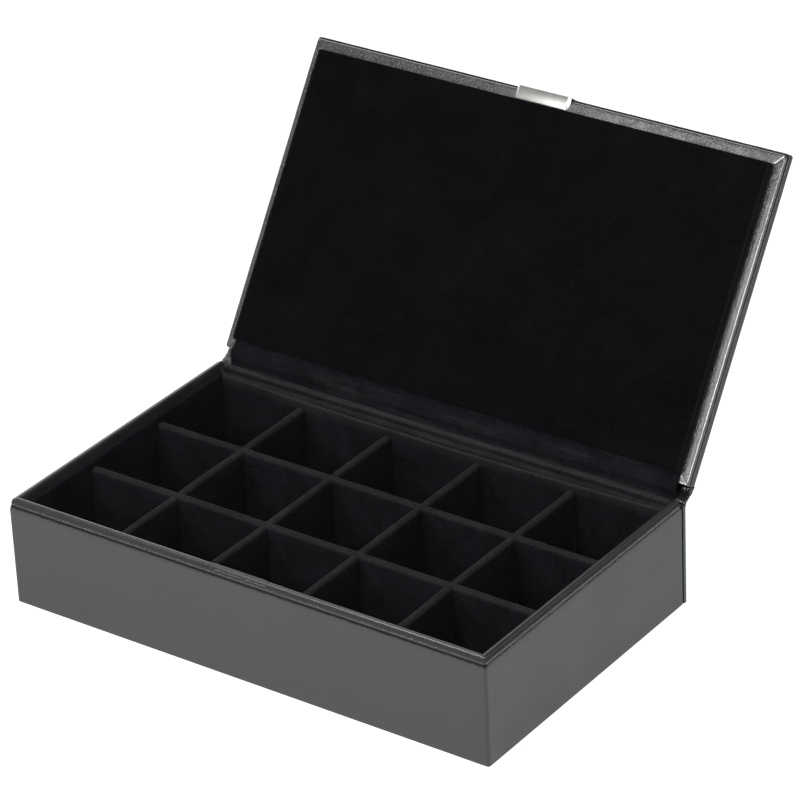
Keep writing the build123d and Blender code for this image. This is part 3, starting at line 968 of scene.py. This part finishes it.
        # Painted shade: a darker colour on the joint's faces turned to the front, none on the left
        # half and growing towards the right end.
        mark(bm, "painted_shade", lambda v: (blend_in(-v.normal.y, -0.2, 0.2)
                                      * blend_in(v.co.x, 0, 60 * MM)))
        piece = piece_from("joint_leather", bm, "joint_leather",
                           stands_for=["hinge_leather"])
        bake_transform(piece)


class JewelleryBoxClip(bpy.types.Operator):
    """Model the steel clip folded over the lid's free edge and the magnet that it meets"""
    bl_idname = "jewellery_box.clip"
    bl_label = "Closure clip"

    def execute(self, context):
        size = sizes()
        plane, front = size.lid_plane, size.front
        half = (CLIP_HI[0] - CLIP_LO[0]) / 2
        sheet, proud, reach = 0.5 * MM, 1.0 * MM, 5.4 * MM
        outer = plane + size.lid_thickness
        bm = bmesh.new()
        inner_leg = slab(bm, -half, half, front - sheet, front + reach, plane - proud, plane)
        for vert in inner_leg:
            if vert.co.z < plane - 0.5 * MM:
                vert.co.x *= (half - 1.4 * MM) / half
        slab(bm, -half, half, front - sheet, front, plane, outer + sheet)
        slab(bm, -half, half, front - sheet, front + reach, outer, outer + sheet)
        self.metal("closure_clip_sheet", bm, "clip_steel", "lid", "closure_clip")
        bm = bmesh.new()
        slab(bm, -half, half, front + 1.85 * MM, front + 3.1 * MM, size.rim - 3.5 * MM,
             size.rim - 0.85 * MM)
        self.metal("closure_magnet_bar", bm, "magnet_steel", "tray", "closure_magnet")
        return {"FINISHED"}

    def metal(self, name, bm, slot, body, node):
        soften(bm, bm.edges[:], 0.14 * MM, 3)
        settle(bm)
        if body == "lid":
            open_lid(bm)
        piece_from(name, bm, "satin_nickel", body, [node])


class JewelleryBoxBoards(bpy.types.Operator):
    """Give the boards, cards, spine and base leather their finishes"""
    bl_idname = "jewellery_box.boards"
    bl_label = "Boards and plain skins"

    def execute(self, context):
        finishes = {
            "box_board": ["base_board", "front_wall", "back_wall", "left_wall", "right_wall",
                          "spine_board", "lid_board"],
            "stiff_card": ["lid_infill", "border_card"],
            "spine_skin": ["spine_cover"],
            "base_skin": ["base_cover"],
        }
        for finish, nodes in finishes.items():
            for node in nodes:
                materials = bpy.data.objects[node].data.materials
                materials.clear()
                materials.append(bpy.data.materials[finish])
        return {"FINISHED"}


# The camera fitted to the photograph: azimuth, elevation and roll in degrees, place in metres,
# focal length in pixels of the photograph.
CAMERA_ANGLES = (36.5436, 28.625, -2.6785)
CAMERA_PLACE = (0.92406, -1.20516, 0.92372)
CAMERA_FOCAL = 4226.5
PHOTO_WIDTH = 800
SENSOR = 36.0                   # sensor width in mm
BRIGHT_SIDE = (-0.8, 0.6, -0.1) # where the surround is brightest in mirrored rays
LIT_POINT = (0, 0.05, 0.08)     # the softboxes are aimed at this


class JewelleryBoxStage(bpy.types.Operator):
    """Set the floor, the soft studio light and the camera"""
    bl_idname = "jewellery_box.stage"
    bl_label = "Studio"

    key: FloatProperty(name="Key light", description="Power of the softbox", default=3.6, min=0.0,
                       unit="POWER")
    level: FloatProperty(name="Surround", description="Strength of the surrounding light",
                         default=0.68, min=0.0)

    def execute(self, context):
        scene = context.scene
        scene.view_settings.view_transform = "Standard"
        self.surround(scene)
        self.floor()
        self.softbox("key_softbox", (0.04, -0.54, 0.535), 0.22, self.key)
        self.softbox("border_softbox", (-0.26, -0.35, 0.47), 0.12, 0.065 * self.key)
        self.softbox("edge_softbox", (-0.17, -0.47, 0.29), 0.07, 0.2 * self.key)
        self.softbox("fill_softbox", (0.45, -0.12, 0.5), 0.25, 0.35 * self.key)
        self.camera(scene)
        return {"FINISHED"}

    def kinds_of_ray(self, tree):
        """Whether a ray comes from the camera, and whether it is mirrored or refracted."""
        path = add(tree, "ShaderNodeLightPath")
        mirrored = math(tree, "ADD", path.outputs["Is Glossy Ray"],
                        path.outputs["Is Transmission Ray"], clamp=True)
        return path.outputs["Is Camera Ray"], mirrored
    def surround(self, scene):
        world = bpy.data.worlds.new("studio_surround")
        scene.world = world
        world.use_nodes = True
        tree = world.node_tree
        back = tree.nodes["Background"]
        straight, mirrored = self.kinds_of_ray(tree)
        place = add(tree, "ShaderNodeTexCoord")
        towards = add(tree, "ShaderNodeVectorMath", operation="DOT_PRODUCT")
        fill(towards.inputs[0], place.outputs["Generated"])
        fill(towards.inputs[1], BRIGHT_SIDE)
        fade = add(tree, "ShaderNodeMapRange", interpolation_type="SMOOTHSTEP")
        feed(fade, Value=towards.outputs["Value"], From_Min=0.15, From_Max=0.8, To_Min=0.15,
             To_Max=1.8)
        extra = math(tree, "SUBTRACT", fade.outputs[0], self.level)
        gain = math(tree, "ADD", self.level, math(tree, "MULTIPLY", mirrored, extra))
        gain = math(tree, "ADD", gain, math(tree, "MULTIPLY", straight, 1.0 - self.level))
        feed(back, Color=(1.0, 1.0, 1.0, 1.0), Strength=gain)

    def floor(self):
        tree, shader = start_finish("studio_floor")
        straight, mirrored = self.kinds_of_ray(tree)
        feed(shader, Base_Color=(0.4, 0.4, 0.4, 1.0), Roughness=0.9, Specular_IOR_Level=0.0,
             Emission_Color=(0.96, 1.0, 0.985, 1.0),
             Emission_Strength=weighted(tree, (straight, 0.82), (mirrored, 0.72)))
        bm = bmesh.new()
        bmesh.ops.create_grid(bm, x_segments=1, y_segments=1, size=4.0)
        bmesh.ops.translate(bm, vec=(0, 0, -0.1 * MM), verts=bm.verts)
        object_from("studio_floor", bm, "studio_floor")

    def softbox(self, name, place, width, power):
        light = bpy.data.lights.new(name, "AREA")
        light.shape = "SQUARE"
        light.size = width
        light.energy = power
        lamp = bpy.data.objects.new(name, light)
        lamp.location = place
        aim = Vector(LIT_POINT) - Vector(place)
        lamp.visible_camera = False
        lamp.rotation_euler = aim.to_track_quat("-Z", "Y").to_euler()
        bpy.context.scene.collection.objects.link(lamp)

    def camera(self, scene):
        azimuth, elevation, roll = map(radians, CAMERA_ANGLES)
        back = Vector((sin(azimuth) * cos(elevation), -cos(azimuth) * cos(elevation),
                       sin(elevation)))
        right = (-back).cross(Vector((0, 0, 1))).normalized()
        up = right.cross(-back)
        level_right = cos(roll) * right + sin(roll) * up
        level_up = -sin(roll) * right + cos(roll) * up
        data = bpy.data.cameras.new("studio_camera")
        data.sensor_width = SENSOR
        data.lens = CAMERA_FOCAL / PHOTO_WIDTH * SENSOR
        data.clip_start, data.clip_end = 0.1, 20.0
        camera = bpy.data.objects.new("studio_camera", data)
        axes = Matrix((level_right, level_up, back)).transposed().to_4x4()
        camera.matrix_world = Matrix.Translation(CAMERA_PLACE) @ axes
        scene.collection.objects.link(camera)
        scene.camera = camera


class JewelleryBoxPanel(bpy.types.Panel):
    """The box's steps, sizes and colours"""
    bl_idname = "VIEW3D_PT_jewellery_box"
    bl_label = "Jewellery box"
    bl_space_type = "VIEW_3D"
    bl_region_type = "UI"
    bl_category = "Jewellery box"

    def draw(self, context):
        for step in STEPS:
            self.layout.operator(step.bl_idname)
        for group in (context.scene.jewellery_box_sizes, context.scene.jewellery_box_colours):
            box = self.layout.box()
            for name in group.__annotations__:
                box.prop(group, name)


STEPS = (JewelleryBoxFinishes, JewelleryBoxTrayLeather, JewelleryBoxInsert, JewelleryBoxLidLeather,
         JewelleryBoxPad, JewelleryBoxJoint, JewelleryBoxClip, JewelleryBoxBoards,
         JewelleryBoxStage)
CLASSES = (JewelleryBoxSizes, JewelleryBoxColours, *STEPS, JewelleryBoxPanel)


def register():
    for cls in CLASSES:
        bpy.utils.register_class(cls)
    bpy.types.Scene.jewellery_box_sizes = PointerProperty(type=JewelleryBoxSizes)
    bpy.types.Scene.jewellery_box_colours = PointerProperty(type=JewelleryBoxColours)


def unregister():
    del bpy.types.Scene.jewellery_box_colours
    del bpy.types.Scene.jewellery_box_sizes
    for cls in reversed(CLASSES):
        bpy.utils.unregister_class(cls)


def main():
    register()
    bpy.ops.jewellery_box.finishes()
    bpy.ops.jewellery_box.tray_leather()
    bpy.ops.jewellery_box.insert()
    bpy.ops.jewellery_box.lid_leather()
    bpy.ops.jewellery_box.pad()
    bpy.ops.jewellery_box.joint()
    bpy.ops.jewellery_box.clip()
    bpy.ops.jewellery_box.boards()
    bpy.ops.jewellery_box.stage()


if __name__ == "__main__":
    main()
